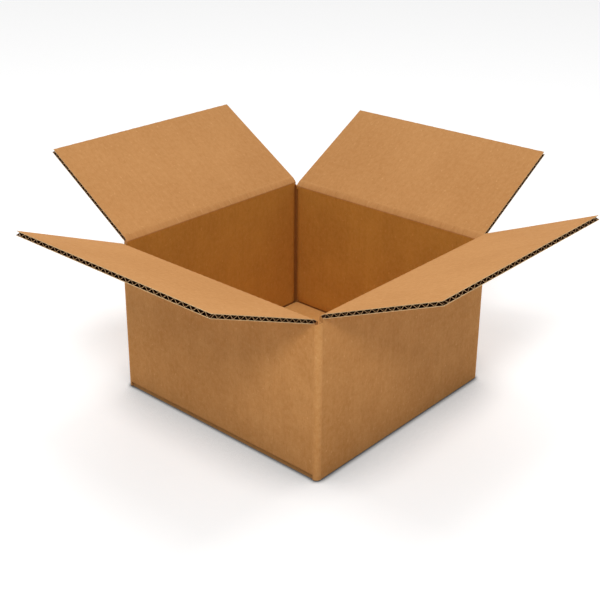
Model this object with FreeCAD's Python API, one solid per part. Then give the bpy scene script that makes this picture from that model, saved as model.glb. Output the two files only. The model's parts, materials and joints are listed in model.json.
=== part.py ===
# Open cardboard box: a regular slotted carton of corrugated board, standing open on its closed base.
# One blank is scored, slotted, folded and glued into four walls. Its lower flaps are folded shut and
# its four upper flaps stand open. Millimetres, +Z up, origin at the centre of the base.
import FreeCAD
import Part
from FreeCAD import Vector

import math
import os

# Board
board = 4.0                 # thickness of the single-wall board
liner = 0.5                 # each of its two outer sheets
medium = 0.4                # the waved sheet between them
flute_pitch = 7.8           # from crest to crest
crest_flat = 1.8            # width on which a crest is glued to its liner
fold_radius = 2.5           # outer radius of a fold at the base
corner_radius = 3.0         # outer radius of the four upright folds
ply_gap = 0.3               # air between one folded flap and the next

# Inside of the box
inside_x = 229.0
inside_y = 229.0
inside_depth = 134.0

# Flaps
top_seam = 2.0              # gap between two facing upper flaps when they are shut
base_seam = 0.5             # gap between two facing base flaps
slot_inset = 4.8            # from the outer face of a wall to the side edge of the flap beside it
slot_over = 3.0             # how far a slot runs past the upper crease, down into the corner
base_slot_inset = 2.0       # the same inset at the outer pair of base flaps
base_slot_over = 1.0        # how far a slot runs past the lower crease
hinge_gap = 0.3             # clear width of a shut crease
crushed = 6.0               # length beside the crease where the scoring has pressed the flutes shut

# How far each open flap stands above level, in degrees
rest_left = 22.0
rest_front = 22.9
rest_back = 32.3
rest_right = 29.9

# Glue tab of the upright joint, on the inner side of the left wall
tab_width = 32.0
tab_short = 3.0             # how far the tab's ends stay clear of the flaps
tab_taper = 12.0            # degrees, the slope of its two ends
joint_slit = 0.6            # open seam where the left wall's raw end meets the back wall

# Worked out from the sizes above
outer_x = inside_x + 2 * board
outer_y = inside_y + 2 * board
inner_flap_base = board + ply_gap                   # underside of the inner pair of base flaps
floor = inner_flap_base + board
minor_crease = floor + inside_depth                 # left and right walls, whose flaps shut first
major_crease = minor_crease + board + ply_gap       # front and back walls, whose flaps shut over them
crease_step = hinge_gap * math.sqrt(2)
reach = 2 * (outer_x + outer_y)                     # longer than the part, for cutting tools

# The four walls by name: turn about Z that carries the +X wall there, half depth to its outer face,
# half width of the panel, height of its crease, height of its lower crease, rest angle of its flap
WALLS = {
    "right": (0, outer_x / 2, outer_y / 2, minor_crease, inner_flap_base, rest_right),
    "back": (90, outer_y / 2, outer_x / 2, major_crease, 0.0, rest_back),
    "left": (180, outer_x / 2, outer_y / 2, minor_crease, inner_flap_base, rest_left),
    "front": (270, outer_y / 2, outer_x / 2, major_crease, 0.0, rest_front),
}


def box(x0, x1, y0, y1, z0, z1):
    """A block between two corners."""
    return Part.makeBox(x1 - x0, y1 - y0, z1 - z0, Vector(x0, y0, z0))


def prism(points, half_width):
    """A section drawn in the XZ plane, drawn out to both sides along Y."""
    corners = [Vector(x, -half_width, z) for x, z in points]
    face = Part.Face(Part.makePolygon(corners + corners[:1]))
    return face.extrude(Vector(0, 2 * half_width, 0))


def turned(shape, degrees):
    """The shape turned about the upright axis of the box."""
    shape = shape.copy()
    shape.rotate(Vector(0, 0, 0), Vector(0, 0, 1), degrees)
    return shape


def panel_and_base_flap(face, half_width, crease, lower_crease):
    """One wall on the +X side with its base flap folded under the box. The section is one bent strip.

    Its upper end is cut at 45 degrees, so the shut flap meets it as a folded corner does."""
    outer_bend = Vector(face - fold_radius, 0, lower_crease + fold_radius)
    start = Vector(base_seam / 2, 0, lower_crease)
    level_end = Vector(face - fold_radius, 0, lower_crease)
    mid_bend = outer_bend + Vector(math.sqrt(0.5), 0, -math.sqrt(0.5)) * fold_radius
    upright_start = Vector(face, 0, lower_crease + fold_radius)
    outer_top = Vector(face, 0, crease)
    inner_top = Vector(face - board, 0, crease - board)
    inner_bend = Vector(face - board, 0, lower_crease + board)
    inner_end = Vector(base_seam / 2, 0, lower_crease + board)
    edges = [
        Part.LineSegment(start, level_end).toShape(),
        Part.Arc(level_end, mid_bend, upright_start).toShape(),
        Part.LineSegment(upright_start, outer_top).toShape(),
        Part.LineSegment(outer_top, inner_top).toShape(),
        Part.LineSegment(inner_top, inner_bend).toShape(),
        Part.LineSegment(inner_bend, inner_end).toShape(),
        Part.LineSegment(inner_end, start).toShape(),
    ]
    section = Part.Face(Part.Wire(edges))
    section.translate(Vector(0, -half_width, 0))
    strip = section.extrude(Vector(0, 2 * half_width, 0))
    # The base flap is narrower than the wall: the slots part it from the flaps beside it. The inner
    # pair also has to pass between the two other walls.
    flap_half = half_width - (slot_inset if lower_crease else base_slot_inset)
    for side in (-1, 1):
        inner, outer = sorted((side * flap_half, side * reach))
        strip = strip.cut(box(0, face - board, inner, outer, lower_crease, lower_crease + board))
    return strip


def upright_edges(x, y):
    """The outline of a rounded plan, half x by half y."""
    plan = box(-x, x, -y, y, 0, major_crease)
    posts = [
        edge
        for edge in plan.Edges
        if abs(edge.Vertexes[0].Z - edge.Vertexes[1].Z) > major_crease / 2
    ]
    return plan.makeFillet(corner_radius, posts)


def corner_slots():
    """What the slots of the blank take away at the four corners, above and below."""
    cuts = []
    for sx in (-1, 1):
        for sy in (-1, 1):
            x0, x1 = sorted((sx * (outer_x / 2 - slot_inset), sx * reach))
            y0, y1 = sorted((sy * (outer_y / 2 - slot_inset), sy * reach))
            cuts.append(box(x0, x1, y0, y1, minor_crease - slot_over, reach))
            cuts.append(box(x0, x1, y0, y1, -reach, base_slot_over))
    return cuts


def glue_tab():
    """The tab that is folded from the back wall and glued inside the left wall."""
    x0 = -outer_x / 2 + board
    y1 = outer_y / 2 - board
    z0 = floor + tab_short
    z1 = minor_crease - board - tab_short
    slope = tab_width * math.tan(math.radians(tab_taper))
    corners = [(y1, z0), (y1, z1), (y1 - tab_width, z1 - slope), (y1 - tab_width, z0 + slope)]
    points = [Vector(x0, y, z) for y, z in corners]
    face = Part.Face(Part.makePolygon(points + points[:1]))
    return face.extrude(Vector(board, 0, 0))


def carton_body():
    """Walls, glue tab and shut base flaps: one folded piece of board."""
    strips = []
    for turn, face, half_width, crease, lower_crease, _ in WALLS.values():
        strips.append(turned(panel_and_base_flap(face, half_width, crease, lower_crease), turn))
    body = strips[0].fuse(strips[1:])
    body = body.common(upright_edges(outer_x / 2, outer_y / 2))
    body = body.cut(corner_slots())
    body = body.fuse(glue_tab())
    slit_x = -outer_x / 2 + board
    slit = box(
        slit_x - joint_slit / 2,
        slit_x + joint_slit / 2,
        outer_y / 2 - board,
        reach,
        -reach,
        reach,
    )
    return body.cut(slit).removeSplitter()


def flutes(face, half_width, low, high):
    """The air channels of an upright panel: one row under each liner, half a pitch apart.

    The waved sheet between the rows is drawn with straight flanks. It keeps its thickness on them."""
    core = board - 2 * liner
    lean = flute_pitch / 2 - crest_flat
    flank = medium * math.hypot(lean, core) / core
    wide = (flute_pitch - crest_flat - flank) / 2
    narrow = wide - lean * (core - medium) / core
    outer_row = [(face - liner, wide), (face - board + liner + medium, narrow)]
    inner_row = [(face - board + liner, wide), (face - liner - medium, narrow)]
    count = int((2 * half_width - 2 * wide) / (flute_pitch / 2)) + 1
    channels = []
    for k in range(count):
        middle = (k - (count - 1) / 2) * flute_pitch / 2
        (x_wide, _), (x_narrow, _) = outer_row if k % 2 == 0 else inner_row
        corners = [
            Vector(x_wide, middle - wide, low),
            Vector(x_wide, middle + wide, low),
            Vector(x_narrow, middle + narrow, low),
            Vector(x_narrow, middle - narrow, low),
        ]
        face_of_channel = Part.Face(Part.makePolygon(corners + corners[:1]))
        channels.append(face_of_channel.extrude(Vector(0, 0, high - low)))
    return channels


def top_flap(face, half_width, crease, rest):
    """One upper flap on the +X side. It is drawn upright over its wall, then laid out to its rest.

    Its flutes run from the crease to the free edge, where the cut shows them open."""
    length = face - top_seam / 2
    section = [
        (face, crease + crease_step),
        (face, crease + length),
        (face - board, crease + length),
        (face - board, crease + crease_step + board),
    ]
    flap = prism(section, half_width - slot_inset)
    root = crease + crease_step + board + crushed
    flap = flap.cut(flutes(face, half_width - slot_inset, root, crease + length + board))
    flap.rotate(Vector(face, 0, crease), Vector(0, 1, 0), 90 - rest)
    return flap


nodes = {"carton_body": carton_body()}
for side_name, (turn, face, half_width, crease, _, rest) in WALLS.items():
    nodes["top_flap_" + side_name] = turned(top_flap(face, half_width, crease, rest), turn)

os.makedirs("parts", exist_ok=True)
for name, shape in nodes.items():
    shape.exportStep("parts/" + name + ".step")
    print(name, len(shape.Solids), shape.isValid(), round(shape.Volume, 1))
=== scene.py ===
import json
import math

import bmesh
import bpy
import numpy as np
from mathutils import Matrix, Vector


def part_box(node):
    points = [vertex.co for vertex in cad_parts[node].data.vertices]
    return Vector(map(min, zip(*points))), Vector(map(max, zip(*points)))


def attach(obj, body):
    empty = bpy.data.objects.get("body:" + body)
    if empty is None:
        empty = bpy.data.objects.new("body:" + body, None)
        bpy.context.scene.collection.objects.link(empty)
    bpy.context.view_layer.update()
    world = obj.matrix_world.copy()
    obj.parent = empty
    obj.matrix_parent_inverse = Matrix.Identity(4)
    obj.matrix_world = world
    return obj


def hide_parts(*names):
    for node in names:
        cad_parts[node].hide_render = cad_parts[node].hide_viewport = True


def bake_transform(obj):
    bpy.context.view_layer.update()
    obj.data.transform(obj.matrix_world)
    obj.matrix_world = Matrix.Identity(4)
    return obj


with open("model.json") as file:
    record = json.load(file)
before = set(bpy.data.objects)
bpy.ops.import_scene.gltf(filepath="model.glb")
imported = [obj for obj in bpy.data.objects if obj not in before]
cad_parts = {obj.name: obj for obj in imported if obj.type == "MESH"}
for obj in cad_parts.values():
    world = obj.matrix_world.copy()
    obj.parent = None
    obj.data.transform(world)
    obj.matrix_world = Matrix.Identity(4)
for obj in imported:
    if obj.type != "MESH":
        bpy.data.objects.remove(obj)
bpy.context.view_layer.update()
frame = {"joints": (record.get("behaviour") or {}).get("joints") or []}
MM = 0.001

# Camera
# It looks down over the front left corner, as in the photograph, whose upright edges converge a
# little less than its view down asks for: that is the small shift.
FRAME_PX = 600              # width and height of the picture
FOCAL_PX = 1056.0
CAMERA_PLACE = (-0.6696, -0.5880, 0.5040)
CAMERA_TURN = 41.62         # degrees, as are the two below
CAMERA_PITCH = -21.89
CAMERA_ROLL = 0.37
SHIFT_Y = -0.10

camera_data = bpy.data.cameras.new("camera")
camera_data.sensor_width = 36.0
camera_data.lens = 36.0 * FOCAL_PX / FRAME_PX
camera_data.shift_y = SHIFT_Y
camera = bpy.data.objects.new("camera", camera_data)
bpy.context.scene.collection.objects.link(camera)
turn, pitch, roll = (math.radians(a) for a in (CAMERA_TURN, CAMERA_PITCH, CAMERA_ROLL))
forward = Vector((math.cos(pitch) * math.cos(turn), math.cos(pitch) * math.sin(turn), math.sin(pitch)))
level_right = Vector((math.sin(turn), -math.cos(turn), 0))
level_up = level_right.cross(forward)
right = level_right * math.cos(roll) + level_up * math.sin(roll)
upward = level_up * math.cos(roll) - level_right * math.sin(roll)
axes = Matrix((right, upward, -forward)).transposed().to_4x4()
camera.matrix_world = Matrix.Translation(CAMERA_PLACE) @ axes
bpy.context.scene.camera = camera
bpy.context.scene.view_settings.view_transform = "Standard"


# Colours and nodes
def linear(hex_colour):
    """An sRGB hex colour as linear RGBA."""
    parts = [int(hex_colour[i:i + 2], 16) / 255 for i in (1, 3, 5)]
    parts = [c / 12.92 if c <= 0.04045 else ((c + 0.055) / 1.055) ** 2.4 for c in parts]
    return (*parts, 1.0)


def node(tree, kind, settings=None, **inputs):
    """Adds one node. Each input is a value, or the socket of another node that feeds it."""
    made = tree.nodes.new(kind)
    for name, value in (settings or {}).items():
        setattr(made, name, value)
    for name, value in inputs.items():
        socket = made.inputs[int(name[1:])] if name[0] == "_" else made.inputs[name.replace("_", " ")]
        if isinstance(value, bpy.types.NodeSocket):
            tree.links.new(value, socket)
        else:
            socket.default_value = value
    return made


def new_material(name):
    """A material with an empty tree and its output node."""
    material = bpy.data.materials.new(name)
    material.use_nodes = True
    material.node_tree.nodes.clear()
    return material, material.node_tree, material.node_tree.nodes.new("ShaderNodeOutputMaterial")


# Floor and light
# A white paper sweep in a studio. The camera sees it lifted to white by a little glow, which stays
# away from the contact line; near the box ambient occlusion darkens it, a painted shadow beside the lit one.
FLOOR_GLOW = 0.405
SHADE_REACH = 80 * MM       # how far from the box the sweep is shaded
CONTACT_REACH = 5 * MM      # width of the dark line where the box touches it
floor_material, tree, output = new_material("white_sweep")
ray = node(tree, "ShaderNodeLightPath")
seen = node(tree, "ShaderNodeMath", {"operation": "MAXIMUM"}, _0=ray.outputs["Is Camera Ray"],
            _1=ray.outputs["Is Glossy Ray"])
seen = node(tree, "ShaderNodeMath", {"operation": "MAXIMUM"}, _0=seen.outputs[0],
            _1=ray.outputs["Is Transmission Ray"])
# Painted shadow: ambient occlusion darkens the sweep's colour within SHADE_REACH of the box, and its colour
# and glow within CONTACT_REACH.
contact = node(tree, "ShaderNodeAmbientOcclusion", {"samples": 8}, Distance=SHADE_REACH)
shade = node(tree, "ShaderNodeMapRange", Value=contact.outputs["AO"], From_Min=0.38, From_Max=0.86,
             To_Min=0.08, To_Max=0.78)
line = node(tree, "ShaderNodeAmbientOcclusion", {"samples": 8}, Distance=CONTACT_REACH)
line = node(tree, "ShaderNodeMapRange", Value=line.outputs["AO"], From_Min=0.45, From_Max=0.95,
            To_Min=0.15, To_Max=1.0)
glow = node(tree, "ShaderNodeMath", {"operation": "MULTIPLY"}, _0=seen.outputs[0], _1=FLOOR_GLOW)
glow = node(tree, "ShaderNodeMath", {"operation": "MULTIPLY"}, _0=glow.outputs[0], _1=line.outputs[0])
shade = node(tree, "ShaderNodeMath", {"operation": "MULTIPLY"}, _0=shade.outputs[0], _1=line.outputs[0])
paper = node(tree, "ShaderNodeBsdfDiffuse", Color=shade.outputs[0], Roughness=1.0)
lift = node(tree, "ShaderNodeEmission", Color=(1, 1, 1, 1), Strength=glow.outputs[0])
both = node(tree, "ShaderNodeAddShader", _0=paper.outputs[0], _1=lift.outputs[0])
tree.links.new(both.outputs[0], output.inputs["Surface"])

FLOOR_HALF = 6.0
floor_mesh = bpy.data.meshes.new("floor")
corners = [(-FLOOR_HALF, -FLOOR_HALF, 0), (FLOOR_HALF, -FLOOR_HALF, 0), (FLOOR_HALF, FLOOR_HALF, 0),
           (-FLOOR_HALF, FLOOR_HALF, 0)]
floor_mesh.from_pydata(corners, [], [(0, 1, 2, 3)])
floor = bpy.data.objects.new("floor", floor_mesh)
bpy.context.scene.collection.objects.link(floor)
floor_mesh.materials.append(floor_material)

WORLD_LIGHT = 0.40
world = bpy.data.worlds.new("studio")
bpy.context.scene.world = world
world.use_nodes = True
tree = world.node_tree
tree.nodes.clear()
ray = node(tree, "ShaderNodeLightPath")
seen = node(tree, "ShaderNodeMath", {"operation": "MAXIMUM"}, _0=ray.outputs["Is Camera Ray"],
            _1=ray.outputs["Is Glossy Ray"])
seen = node(tree, "ShaderNodeMath", {"operation": "MAXIMUM"}, _0=seen.outputs[0],
            _1=ray.outputs["Is Transmission Ray"])
strength = node(tree, "ShaderNodeMix", {"data_type": "FLOAT"}, _0=seen.outputs[0], _2=WORLD_LIGHT, _3=1.0)
sky = node(tree, "ShaderNodeBackground", Color=(1, 1, 1, 1), Strength=strength.outputs[0])
output = node(tree, "ShaderNodeOutputWorld", Surface=sky.outputs[0])


def softbox(name, place, target, size, watts):
    """A square lamp that faces a point."""
    data = bpy.data.lights.new(name, "AREA")
    data.size = size
    data.energy = watts
    lamp = bpy.data.objects.new(name, data)
    bpy.context.scene.collection.objects.link(lamp)
    lamp.location = place
    lamp.rotation_euler = (Vector(target) - Vector(place)).to_track_quat("-Z", "Y").to_euler()


# One lamp stands over the near corner, so that its light falls through the gap between the near flaps
# on to the fold. The other hangs right above and reaches the floor of the box.
softbox("fill_front", place=(-1.08, -0.80, 1.25), target=(0, 0, 0.10), size=0.35, watts=9.0)
softbox("fill_above", place=(0, 0, 1.70), target=(0, 0, 0), size=0.5, watts=4.8)

# The key is a wide soft light from overhead and a little behind, so it is even over the whole sweep.
KEY_STRENGTH = 1.5
KEY_SPREAD = 0.8            # radians
KEY_FROM = (0.55, 0.35, 1.0)
key_data = bpy.data.lights.new("key_overhead", "SUN")
key_data.energy = KEY_STRENGTH
key_data.angle = KEY_SPREAD
key = bpy.data.objects.new("key_overhead", key_data)
bpy.context.scene.collection.objects.link(key)
key.rotation_euler = Vector(KEY_FROM).to_track_quat("Z", "Y").to_euler()


# Kraft board
# Brown kraft linerboard: a matt paper, mottled where pulp lies thicker, with short fibres and faint
# bands along the flutes that lie under the sheet.
BOARD = 4.0 * MM            # thickness of the single-wall board
LINER = 0.5 * MM            # each of its two outer sheets
FLUTE_PITCH = 7.8 * MM      # from crest to crest of the waved sheet between them


def number(tree, operation, first, second, third=0.0):
    """One step of arithmetic on sockets or numbers."""
    return node(tree, "ShaderNodeMath", {"operation": operation}, _0=first, _1=second, _2=third).outputs[0]


def spots(tree, place, scale, stretch=1.0, detail=2.0, rough=0.55, low=0.35, high=0.65):
    """Noise of so many spots per metre, from 0 to 1, drawn out along the flutes by stretch."""
    size = node(tree, "ShaderNodeMapping", Vector=place, Scale=(scale, scale / stretch, 1.0))
    made = node(tree, "ShaderNodeTexNoise", {"noise_dimensions": "2D"}, Vector=size.outputs[0], Scale=1.0,
                Detail=detail, Roughness=rough)
    return node(tree, "ShaderNodeMapRange", Value=made.outputs[0], From_Min=low, From_Max=high).outputs[0]


def blended(tree, share, first, second):
    """One colour over another."""
    return node(tree, "ShaderNodeMix", {"data_type": "RGBA"}, _0=share, _6=first, _7=second).outputs[2]


def kraft(name, base, dark, pale, bump, gloss=0.16, clouded=0.26):
    """Kraft paper. Its pattern lies in the board map, which is in metres: X across the flutes, Y along."""
    material, tree, output = new_material(name)
    place = node(tree, "ShaderNodeUVMap", {"uv_map": "board"}).outputs[0]
    cloud = spots(tree, place, 11, 1.3, 3.0)                        # 90 mm
    patches = spots(tree, place, 48, 1.2, 4.0, 0.6)                 # 21 mm
    mottle = spots(tree, place, 260, 1.2, 4.0, 0.7)                 # 4 mm
    grain = spots(tree, place, 1100, 1.5, 2.0)                      # 0.9 mm
    fibres = spots(tree, place, 620, 5.0, 2.0, 0.5, 0.64, 0.76)     # 1.6 mm thick, coarser than real ones
    flecks = spots(tree, place, 330, 1.6, 1.0, 0.5, 0.74, 0.80)     # 3 mm
    streaks = spots(tree, place, 240, 40.0, 1.0)                    # 4 mm wide, 170 mm long
    flute = node(tree, "ShaderNodeTexWave", {"wave_type": "BANDS", "bands_direction": "X"}, Vector=place,
                 Scale=math.pi / 10 / FLUTE_PITCH, Distortion=0.0, Detail=0.0).outputs[1]
    colour = blended(tree, number(tree, "MULTIPLY", cloud, 0.30), base, dark)
    colour = blended(tree, number(tree, "MULTIPLY", patches, clouded), colour, dark)
    colour = blended(tree, number(tree, "MULTIPLY", mottle, 0.26), colour, pale)
    colour = blended(tree, number(tree, "MULTIPLY", grain, 0.14), colour, dark)
    colour = blended(tree, number(tree, "MULTIPLY", streaks, 0.07), colour, dark)
    colour = blended(tree, number(tree, "MULTIPLY", fibres, 0.30), colour, dark)
    colour = blended(tree, number(tree, "MULTIPLY", flecks, 0.40), colour, pale)
    height = number(tree, "MULTIPLY_ADD", mottle, 0.5, number(tree, "MULTIPLY", grain, 0.3))
    height = number(tree, "MULTIPLY_ADD", flute, 0.25, height)
    relief = node(tree, "ShaderNodeBump", Strength=bump, Distance=0.10 * MM, Height=height)
    shader = node(tree, "ShaderNodeBsdfPrincipled", Base_Color=colour, Roughness=0.85,
                  Normal=relief.outputs[0])
    shader.inputs["Specular IOR Level"].default_value = gloss
    tree.links.new(shader.outputs[0], output.inputs["Surface"])
    return material


# Machine-finished kraft liner, on both faces of the flaps: smooth and even.
liner_face = kraft("kraft_liner", linear("#C08A53"), linear("#A66F38"), linear("#D4A26B"), 0.4, clouded=0.08)
# The same liner round the walls, painted lighter than on the flaps: a lit copy that makes up for the
# dimmer light on the upright walls. Clouds of pulp show as darker patches.
wall_outside_painted_light = kraft("kraft_wall_outside", linear("#D89C5E"), linear("#B47636"), linear("#E8B478"), 0.5)
# The inner liner of the walls: the same paper as the flaps, painted yellower, standing in for the light
# bounced between the brown walls.
wall_inside_painted_light = kraft("kraft_wall_inside", linear("#C48B3C"), linear("#A46C27"), linear("#D49D53"), 0.5)
# The inner liner of the base, painted paler than the walls round it: painted light, standing in for
# the light that falls on the floor of the box.
base_inside_painted_light = kraft("kraft_base_inside", linear("#EAB46C"), linear("#D0964E"), linear("#F4C688"), 0.5)
# Kraft along the folds: inside, in the upright corners and along the foot of the walls, painted darker
# as painted shade; outside, round the corner folds, painted paler as a painted highlight.
fold_painted_shade = kraft("kraft_fold_inside", linear("#94602A"), linear("#7C4C1C"), linear("#A97540"), 0.5)
# Painted highlight: the corner folds are paler outside than the walls.
fold_painted_highlight = kraft("kraft_fold_outside", linear("#DDA163"), linear("#BA7C3B"), linear("#ECBA7F"), 0.5)
# Die-cut paper: the raw edge of a liner is pale and rough, that of the fluting paper greyer.
cut_edge = kraft("cut_paper_edge", linear("#E0BC8C"), linear("#C79C68"), linear("#F0D4A8"), 0.8)
medium_edge = kraft("cut_medium_edge", linear("#BC966C"), linear("#9A764E"), linear("#D2AE84"), 0.8)
# Painted shade: the fluting paper and the liners' inner sides deep in the flutes are a dark brown
# without any shine, standing in for the shade in the channels, so they read as open.
flute_painted_shade = kraft("flute_inside", linear("#3C1C08"), linear("#2A1204"), linear("#4C2A10"), 0.4, 0.0)


# Cut board
# Where walls and base are cut their section shows: two pale liners, and between them the flutes in
# painted shade, crossed by the waved sheet.
def cut_board(name):
    """Section of the board. Its own map has X along the cut and Y through the board, both in metres."""
    material, tree, output = new_material(name)
    place = node(tree, "ShaderNodeUVMap", {"uv_map": "section"}).outputs[0]
    parts_of = node(tree, "ShaderNodeSeparateXYZ", Vector=place)
    depth = number(tree, "DIVIDE", parts_of.outputs[1], BOARD)
    turn = number(tree, "MULTIPLY", parts_of.outputs[0], 2 * math.pi / FLUTE_PITCH)
    wave = number(tree, "MULTIPLY_ADD", number(tree, "SINE", turn, 0.0), 0.36, 0.5)
    off_wave = number(tree, "ABSOLUTE", number(tree, "SUBTRACT", depth, wave), 0.0)
    on_wave = number(tree, "LESS_THAN", off_wave, 0.10)
    off_middle = number(tree, "ABSOLUTE", number(tree, "SUBTRACT", depth, 0.5), 0.0)
    on_liner = number(tree, "GREATER_THAN", off_middle, 0.5 - LINER / BOARD)
    # Painted shade: the open flutes are a near-black brown, the waved sheet and the liners paler.
    colour = blended(tree, on_wave, linear("#241206"), linear("#A88460"))
    colour = blended(tree, on_liner, colour, linear("#D9B283"))
    shader = node(tree, "ShaderNodeBsdfPrincipled", Base_Color=colour, Roughness=0.9)
    shader.inputs["Specular IOR Level"].default_value = 0.1
    tree.links.new(shader.outputs[0], output.inputs["Surface"])
    return material


board_section = cut_board("cut_board_section")
BOARD_MATERIALS = [liner_face, cut_edge, medium_edge, flute_painted_shade, board_section, wall_inside_painted_light,
                   wall_outside_painted_light, fold_painted_shade, base_inside_painted_light, fold_painted_highlight]
FACE, EDGE, MEDIUM_EDGE, SHADE, SECTION, INSIDE, OUTSIDE, FOLD, BASE, FOLD_HIGHLIGHT = range(10)


# Sheets of board
# Every panel is a grid that is laid on two surfaces a board apart, and closed round its rim.
def mapped_mesh(name, points, faces, kinds, board_map, section_map):
    """A mesh with its materials and its two maps."""
    mesh = bpy.data.meshes.new(name)
    mesh.from_pydata([tuple(p) for p in points], [], faces)
    for layer_name, values in (("board", board_map), ("section", section_map)):
        layer = mesh.uv_layers.new(name=layer_name)
        layer.data.foreach_set("uv", np.array(values, np.float32).ravel())
    mesh.polygons.foreach_set("material_index", np.array(kinds, np.int32))
    for material in BOARD_MATERIALS:
        mesh.materials.append(material)
    mesh.update()
    return mesh


def sheet(name, outer, inner, across, along, offset, outside, inside, rim):
    """Closed mesh of a board. outer and inner are grids of points, [along][across], in metres.

    across and along hold each grid line's place on the flat board, which is where its pattern lies.
    outside, inside and rim give the material at a place along it."""
    rows, columns = len(along), len(across)
    points = [p for row in outer for p in row] + [p for row in inner for p in row]
    half = rows * columns
    faces, board_map, section_map, kinds = [], [], [], []

    def face(corner_ids, corner_maps, kind, section=((0, 0),) * 4):
        faces.append(corner_ids)
        board_map.extend((u + offset, v) for u, v in corner_maps)
        section_map.extend(section)
        kinds.append(kind)

    def at(r, c):
        return (across[c], along[r])

    for r in range(rows - 1):
        for c in range(columns - 1):
            ids = [r * columns + c, r * columns + c + 1, (r + 1) * columns + c + 1, (r + 1) * columns + c]
            where = [at(r, c), at(r, c + 1), at(r + 1, c + 1), at(r + 1, c)]
            middle = (along[r] + along[r + 1]) / 2
            face(ids, where, outside(middle))
            face([half + i for i in reversed(ids)], list(reversed(where)), inside(middle))
    border = [(0, c) for c in range(columns - 1)] + [(r, columns - 1) for r in range(rows - 1)]
    border += [(rows - 1, c) for c in range(columns - 1, 0, -1)] + [(r, 0) for r in range(rows - 1, 0, -1)]
    for k, (r, c) in enumerate(border):
        r2, c2 = border[(k + 1) % len(border)]
        a, b = r * columns + c, r2 * columns + c2
        (ua, va), (ub, vb) = at(r, c), at(r2, c2)
        where = [(ub, vb), (ua, va), (ua + BOARD, va + BOARD), (ub + BOARD, vb + BOARD)]
        run_a, run_b = ua + va, ub + vb
        section = [(run_b, 0), (run_a, 0), (run_a, BOARD), (run_b, BOARD)]
        face([b, a, half + a, half + b], where, rim((va + vb) / 2), section)
    return mapped_mesh(name, points, faces, kinds, board_map, section_map)


def steps(low, high, pitch):
    """Even steps from low to high, about a pitch long."""
    count = max(1, round(abs(high - low) / pitch))
    return [low + (high - low) * k / count for k in range(count + 1)]


def joined(name, meshes):
    """One object of several meshes, with its normals outward."""
    whole = bmesh.new()
    for mesh in meshes:
        whole.from_mesh(mesh)
        bpy.data.meshes.remove(mesh)
    bmesh.ops.recalc_face_normals(whole, faces=whole.faces)
    result = bpy.data.meshes.new(name)
    whole.to_mesh(result)
    whole.free()
    for material in BOARD_MATERIALS:
        result.materials.append(material)
    for polygon in result.polygons:
        polygon.use_smooth = True
    result.set_sharp_from_angle(angle=math.radians(35))
    made = bpy.data.objects.new(name, result)
    bpy.context.scene.collection.objects.link(made)
    return made


# Walls and base
# Four panels of one blank. Each runs from its upper crease down the wall, round the lower fold and
# on under the box to the seam where its base flap meets the facing one.
SLOT_INSET = 4.8 * MM       # from the outer face of a wall to the side edge of the flap beside it
SLOT_OVER = 0.8 * MM        # how far a slot runs past the upper crease
POST_RISE = 2.2 * MM        # how much higher a corner post ends beside a major wall
BASE_SLOT_OVER = 1.0 * MM   # how far a slot runs past the lower crease
BASE_SLOT_INSET = 2.0 * MM
BASE_SEAM = 0.5 * MM        # gap between two facing base flaps
PLY_GAP = 0.3 * MM          # air between one folded flap and the next
SIDE_PLAY = 0.6 * MM        # air beside the inner pair of base flaps
FOLD_RADIUS = 1.6 * MM
CORNER_RADIUS = 4.5 * MM
FOLD_GROOVE = 1.5 * MM      # depth of the dent along the inner side of a fold
CREASE_BELOW = 3.0 * MM     # how far down the wall the crushed crease starts
# Painted shade: for DARK_HEEL above the base the walls' inner liner takes the darker fold colour.
DARK_HEEL = 1.4 * MM        # height of the shaded dent where the walls meet the base
GRID = 6.0 * MM             # size of the faces of a flat panel
hinges = {j["child"].replace("_flap", ""): j for j in frame["joints"]}
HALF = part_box("carton_body")[1].x
PANEL_HALF = HALF - SLOT_INSET
MINOR_CREASE = hinges["left"]["pos_m"][2]
LOWER_CREASE = {"left": BOARD + PLY_GAP, "right": BOARD + PLY_GAP, "front": 0.0, "back": 0.0}
FLOOR_TOP = 2 * BOARD + PLY_GAP
TURNS = {"right": 0, "back": 90, "left": 180, "front": 270}


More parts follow.
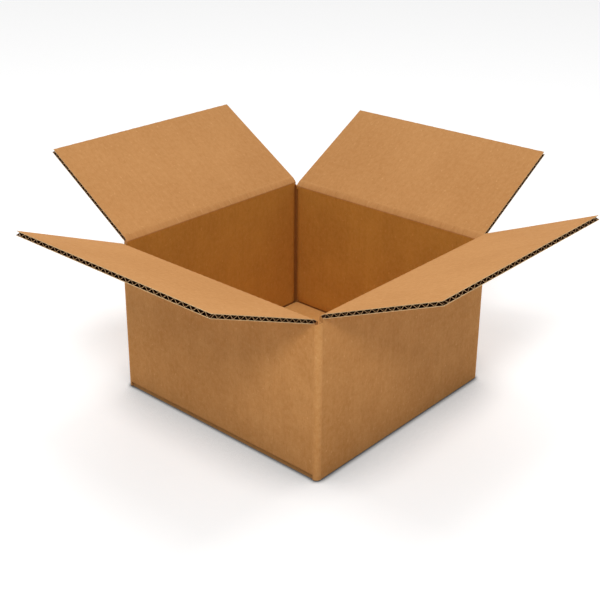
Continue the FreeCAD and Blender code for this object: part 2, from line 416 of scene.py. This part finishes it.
def wall_and_base_flap(side, offset):
    """The panel on one side, drawn on the +X side and turned to its place."""
    crease, low = hinges[side]["pos_m"][2], LOWER_CREASE[side]
    path = []
    heel = low + BOARD
    dark_below = FLOOR_TOP + DARK_HEEL
    heights = steps(crease - CREASE_BELOW, dark_below, GRID)
    heights += steps(dark_below, low + FOLD_RADIUS, 1.0 * MM)[1:]
    for z in heights:
        dip = FOLD_GROOVE * max(0.0, 1 - (z - heel) / (2 * FOLD_GROOVE)) if z > heel else FOLD_GROOVE
        path.append(((HALF, z), (HALF - BOARD + dip, max(z, heel)), z, PANEL_HALF))
    centre_x, centre_z = HALF - FOLD_RADIUS, low + FOLD_RADIUS
    for k in range(1, 6):
        angle = math.radians(18 * k)
        outer = (centre_x + FOLD_RADIUS * math.cos(angle), centre_z - FOLD_RADIUS * math.sin(angle))
        under = (HALF - BOARD - 0.1 * MM * k, low + BOARD)
        path.append((outer, under, low - FOLD_RADIUS * angle, PANEL_HALF))
    base_half = PANEL_HALF - SIDE_PLAY if low else HALF - BASE_SLOT_INSET
    for x in steps(HALF - BOARD - 0.6 * MM, BASE_SEAM / 2, GRID):
        path.append(((x, low), (x, low + BOARD), low - (HALF - x), base_half))
    edge = steps(PANEL_HALF - 3 * FOLD_GROOVE, PANEL_HALF, FOLD_GROOVE)
    across = [-y for y in reversed(edge)] + steps(-edge[0], edge[0], GRID)[1:-1] + edge
    spin = Matrix.Rotation(math.radians(TURNS[side]), 3, "Z")

    def groove(point, y):
        """How far the inner liner is pressed in along the upright folds."""
        near = max(0.0, (abs(y) - edge[0]) / (PANEL_HALF - edge[0]))
        return FOLD_GROOVE * near * near if point[1] > heel else 0.0

    # Inside, the base takes the painted lighter base colour, a band above it the painted fold shade, and the
    # wall the painted inside colour.
    def inside(v):
        return BASE if v < low else FOLD if v < dark_below else INSIDE

    outer = [[spin @ Vector((o[0], y * w / PANEL_HALF, o[1])) for y in across] for o, _, _, w in path]
    inner = [[spin @ Vector((i[0] + groove(i, y), y * w / PANEL_HALF, i[1])) for y in across]
             for _, i, _, w in path]
    return sheet("panel_" + side, outer, inner, across, [v for _, _, v, _ in path], offset,
                 lambda v: OUTSIDE, inside, lambda v: FACE)


def corner_post(turn_degrees, offset):
    """The upright fold between two slots, from the end of the lower slot to that of the upper one."""
    centre = HALF - CORNER_RADIUS
    inner_corner = HALF - BOARD + FOLD_GROOVE
    plan = [((HALF, PANEL_HALF), (inner_corner, PANEL_HALF))]
    for k in range(7):
        angle = math.radians(15 * k)
        outer = (centre + CORNER_RADIUS * math.cos(angle), centre + CORNER_RADIUS * math.sin(angle))
        plan.append((outer, (inner_corner, inner_corner)))
    plan.append(((PANEL_HALF, HALF), (PANEL_HALF, inner_corner)))
    heights = steps(BASE_SLOT_OVER, MINOR_CREASE - SLOT_OVER, GRID)
    spin = Matrix.Rotation(math.radians(turn_degrees), 3, "Z")

    def rise(k, z):
        """The slot's end runs up a little to the higher of the two creases."""
        share = k / (len(plan) - 1)
        higher = share if turn_degrees % 180 == 0 else 1 - share
        return z + (POST_RISE * higher if z == heights[-1] else 0.0)

    outer = [[spin @ Vector((*o, rise(k, z))) for k, (o, _) in enumerate(plan)] for z in heights]
    inner = [[spin @ Vector((*i, rise(k, z))) for k, (_, i) in enumerate(plan)] for z in heights]
    around = [PANEL_HALF + k * 1.1 * MM for k in range(len(plan))]
    # Outside the post takes the painted fold highlight, inside the painted fold shade.
    return sheet("post", outer, inner, around, heights, offset, lambda v: FOLD_HIGHLIGHT, lambda v: FOLD,
                 lambda v: FACE)


TAB_WIDTH = 32.0 * MM
TAB_SHORT = 3.0 * MM        # how far the tab's ends stay clear of the flaps
TAB_TAPER = 12.0            # degrees, the slope of its two ends


def glue_tab():
    """The tab of the upright joint, glued to the inner side of the left wall."""
    x0, x1 = -HALF + BOARD, -HALF + 2 * BOARD
    far = HALF - BOARD
    low, high = FLOOR_TOP + TAB_SHORT, MINOR_CREASE - BOARD - TAB_SHORT
    slope = math.tan(math.radians(TAB_TAPER))
    across = steps(far, far - TAB_WIDTH, GRID)
    shares = steps(0.0, 1.0, 0.05)
    outer, inner = [], []
    for share in shares:
        outer.append([])
        inner.append([])
        for y in across:
            cut = (far - y) * slope
            z = low + cut + (high - low - 2 * cut) * share
            outer[-1].append(Vector((x1, y, z)))
            inner[-1].append(Vector((x0, y, z)))
    return sheet("tab", outer, inner, across, [low + (high - low) * s for s in shares], 3.1,
                 lambda v: INSIDE, lambda v: INSIDE, lambda v: INSIDE)


parts = [wall_and_base_flap(side, k * 0.9) for k, side in enumerate(TURNS)]
parts += [corner_post(90 * k, 0.3 + k * 0.9) for k in range(4)]
parts.append(glue_tab())
shell = joined("carton_shell", parts)
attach(shell, "carton_body")
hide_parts("carton_body")


# Hinge frames
# Each upper flap lies on a grid of its own: along the crease, out along the flap, and through the
# board, with the outer liner at 0 and the inner one at minus a board.
UP = Vector((0, 0, 1))
TOP_SEAM = 2.0 * MM         # gap between two facing upper flaps when they are shut
FLAP_LENGTH = HALF - TOP_SEAM / 2


class Hinge:
    """The crease line of a flap, and how far the flap leans out from upright at rest."""

    def __init__(self, side):
        joint = hinges[side]
        self.place = Vector(joint["pos_m"])
        self.along = Vector(joint["axis"])
        self.outward = self.along.cross(UP)
        self.rest = math.radians(-joint["range_deg"][0] - 90)

    def point(self, along, out, through, bend=1.0):
        """A point of the flap when it is bent from upright by a share of its rest angle."""
        angle = self.rest * bend
        direction = self.outward * math.sin(angle) + UP * math.cos(angle)
        normal = self.outward * math.cos(angle) - UP * math.sin(angle)
        return self.place + self.along * along + direction * out + normal * through


# Fluted edge
# The medium between the liners is one waved sheet. It shows at every cut edge of a flap, so strips of
# it are made by nodes: a grid is waved, then given the thickness of paper.
MEDIUM = 0.45 * MM


def medium_nodes():
    """Node group that makes a waved strip along X, as deep as asked along Y."""
    group = bpy.data.node_groups.new("corrugated_medium", "GeometryNodeTree")
    wanted = [("Length", "NodeSocketFloat"), ("Depth", "NodeSocketFloat"), ("Pitch", "NodeSocketFloat"),
              ("Height", "NodeSocketFloat"), ("Thickness", "NodeSocketFloat"), ("Columns", "NodeSocketInt"),
              ("Material", "NodeSocketMaterial")]
    for name, kind in wanted:
        group.interface.new_socket(name, in_out="INPUT", socket_type=kind)
    group.interface.new_socket("Geometry", in_out="OUTPUT", socket_type="NodeSocketGeometry")
    given = node(group, "NodeGroupInput").outputs
    grid = node(group, "GeometryNodeMeshGrid", Size_X=given["Length"], Size_Y=given["Depth"],
                Vertices_X=given["Columns"], Vertices_Y=3)
    place = node(group, "GeometryNodeInputPosition")
    parts_of = node(group, "ShaderNodeSeparateXYZ", Vector=place.outputs[0])
    turns = node(group, "ShaderNodeMath", {"operation": "DIVIDE"}, _0=parts_of.outputs[0], _1=given["Pitch"])
    angle = node(group, "ShaderNodeMath", {"operation": "MULTIPLY"}, _0=turns.outputs[0], _1=2 * math.pi)
    wave = node(group, "ShaderNodeMath", {"operation": "SINE"}, _0=angle.outputs[0])
    lift = node(group, "ShaderNodeMath", {"operation": "MULTIPLY"}, _0=wave.outputs[0], _1=given["Height"])
    offset = node(group, "ShaderNodeCombineXYZ", Z=lift.outputs[0])
    waved = node(group, "GeometryNodeSetPosition", Geometry=grid.outputs[0], Offset=offset.outputs[0])
    thick = node(group, "GeometryNodeExtrudeMesh", {"mode": "FACES"}, Mesh=waved.outputs[0],
                 Offset_Scale=given["Thickness"], Individual=False)
    real = node(group, "GeometryNodeRealizeInstances", Geometry=thick.outputs[0])
    dressed = node(group, "GeometryNodeSetMaterial", Geometry=real.outputs[0], Material=given["Material"])
    node(group, "NodeGroupOutput", Geometry=dressed.outputs[0])
    return group


medium_group = medium_nodes()


def medium_strip(length, depth):
    """Points and faces of a waved strip centred on the origin."""
    holder = bpy.data.objects.new("strip", bpy.data.meshes.new("strip"))
    bpy.context.scene.collection.objects.link(holder)
    modifier = holder.modifiers.new("flutes", "NODES")
    modifier.node_group = medium_group
    inner_height = BOARD - 2 * LINER - MEDIUM
    values = {"Length": length, "Depth": depth, "Pitch": FLUTE_PITCH, "Height": inner_height / 2,
              "Thickness": MEDIUM, "Columns": int(length / FLUTE_PITCH * 12) + 1, "Material": flute_painted_shade}
    for item in medium_group.interface.items_tree:
        if item.item_type == "SOCKET" and item.in_out == "INPUT":
            modifier[item.identifier] = values[item.name]
    graph = bpy.context.evaluated_depsgraph_get()
    made = bpy.data.meshes.new_from_object(holder.evaluated_get(graph))
    points = [v.co.copy() for v in made.vertices]
    faces = [tuple(p.vertices) for p in made.polygons]
    bpy.data.objects.remove(holder)
    return points, faces


def placed_strip(name, strip, to_world, to_board):
    """The strip as a mesh, its points carried to their place. Its cut ends are paler; the rest is painted
    shade.
    """
    points, faces = strip
    end = max(p.y for p in points) - 1e-6
    cut = [all(abs(points[i].y) > end for i in ids) for ids in faces]
    kinds = [MEDIUM_EDGE if is_cut else SHADE for is_cut in cut]
    board_map = [to_board(points[i]) for ids in faces for i in ids]
    return mapped_mesh(name, [to_world(p) for p in points], faces, kinds, board_map,
                       [(0, 0)] * len(board_map))


# Upper flaps
# Each flap is two liners with the fluted medium between them. All four are as wide as the panel less
# its slots, and as long as half the box.
FREE_STRIP = 8.0 * MM       # how deep the medium is drawn behind the free edge
SIDE_STRIP = 2.0 * MM       # and behind the side edges
EDGE_SET_BACK = 0.25 * MM   # how far the medium stays behind the liners' cut edges
EDGE_WANDER = 0.14 * MM     # how far the free edge strays from straight
CREASE_ABOVE = 4.4 * MM     # how far up the flap its crushed crease ends


def liner(hinge, near, far, offset, outside, inside):
    """One liner of a flap, between two depths through the board."""
    across = steps(-PANEL_HALF, PANEL_HALF, 3 * MM)
    along = steps(CREASE_ABOVE, FLAP_LENGTH, GRID)

    def at(x, y, depth):
        wander = EDGE_WANDER * math.sin(x * 610 + near * 9000) * math.sin(x * 173 + 1.3)
        reach = wander if y == along[-1] else 0.0
        return hinge.point(x, y + reach - (EDGE_WANDER if y == along[-1] else 0.0), depth)

    outer = [[at(x, y, near) for x in across] for y in along]
    inner = [[at(x, y, far) for x in across] for y in along]
    return sheet("liner", outer, inner, across, [MINOR_CREASE + y for y in along], offset,
                 lambda v: outside, lambda v: inside, lambda v: EDGE)


def flap(side, offset):
    """Liners and fluted strips of one upper flap."""
    hinge = Hinge(side)
    middle = -BOARD / 2 - MEDIUM / 2
    # The liners' sides that face the flutes take the painted flute shade.
    meshes = [liner(hinge, 0.0, -LINER, offset, FACE, SHADE)]
    meshes.append(liner(hinge, LINER - BOARD, -BOARD, offset + 0.4, SHADE, FACE))
    width = 2 * (PANEL_HALF - EDGE_SET_BACK - SIDE_STRIP)
    free = medium_strip(width, FREE_STRIP)
    mid_out = FLAP_LENGTH - EDGE_SET_BACK - EDGE_WANDER - FREE_STRIP / 2
    meshes.append(placed_strip("free_edge", free, lambda p: hinge.point(p.x, mid_out + p.y, middle + p.z),
                               lambda p: (p.x + offset, p.y)))
    length = FLAP_LENGTH - EDGE_SET_BACK - EDGE_WANDER - CREASE_ABOVE
    side_strip = medium_strip(length, SIDE_STRIP)
    mid_out = CREASE_ABOVE + length / 2
    for way in (-1, 1):
        mid_along = way * (PANEL_HALF - EDGE_SET_BACK - SIDE_STRIP / 2)
        meshes.append(placed_strip("side_edge", side_strip,
                                   lambda p: hinge.point(mid_along + p.y, mid_out + p.x, middle + p.z),
                                   lambda p: (p.x + offset, p.y)))
    made = joined("flap_board_" + side, meshes)
    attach(made, side + "_flap")
    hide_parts("top_flap_" + side)


for k, side in enumerate(TURNS):
    flap(side, 5.0 + k * 0.9)


# Creases
# Where wall turns into flap the board is folded on a score. The liner outside turns about the hinge,
# the one inside stretches over the corner, and the flutes leave a row of faint bumps in it.
BUMP = 0.14 * MM
BUMP_HALF = 1.4 * MM        # how far from the corner the bumps fade out
ROUND = 0.8 * MM            # half length of the rounded part of the inner corner
BEND_BELOW = 1.5 * MM       # the turn of the outer liner is shorter than the strip
BEND_ABOVE = 2.0 * MM


def crease_strip(side, offset):
    """The folded strip between a wall and its flap, bent to the flap's rest angle."""
    hinge = Hinge(side)
    across = steps(-PANEL_HALF, PANEL_HALF, FLUTE_PITCH / 6)
    out = steps(-CREASE_BELOW, CREASE_ABOVE, 0.5 * MM)
    corner = BOARD * math.tan(hinge.rest / 2)

    def bend(y):
        share = min(1.0, max(0.0, (y + BEND_BELOW) / (BEND_BELOW + BEND_ABOVE)))
        return share * share * (3 - 2 * share)

    def flat_inner(x, y):
        """The inner liner as two flat planes that meet at the corner."""
        bump = BUMP * math.cos(2 * math.pi * x / FLUTE_PITCH) * math.exp(-(y / BUMP_HALF) ** 2)
        if y < 0:
            up = -CREASE_BELOW + (corner + CREASE_BELOW) * (y + CREASE_BELOW) / CREASE_BELOW
            return hinge.point(x, up, bump - BOARD, 0.0)
        return hinge.point(x, corner + (CREASE_ABOVE - corner) * y / CREASE_ABOVE, bump - BOARD, 1.0)

    def rounded_inner(x, y):
        if abs(y) >= ROUND:
            return flat_inner(x, y)
        share = (y + ROUND) / (2 * ROUND)
        first, middle, last = flat_inner(x, -ROUND), flat_inner(x, 0.0), flat_inner(x, ROUND)
        return first * (1 - share) ** 2 + middle * 2 * share * (1 - share) + last * share ** 2

    outer = [[hinge.point(x, y, 0.0, bend(y)) for x in across] for y in out]
    inner = [[rounded_inner(x, y) for x in across] for y in out]
    along = [MINOR_CREASE + y for y in out]
    board = sheet("crease", outer, inner, across, along, offset,
                  lambda v: OUTSIDE if v < MINOR_CREASE else FACE,
                  lambda v: INSIDE if v < MINOR_CREASE - 1.6 * MM else FACE,
                  lambda v: SECTION if v > MINOR_CREASE - 0.6 * MM else FACE)
    made = joined("crease_" + side, [board])
    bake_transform(made)


for k, side in enumerate(TURNS):
    crease_strip(side, 9.0 + k * 0.9)
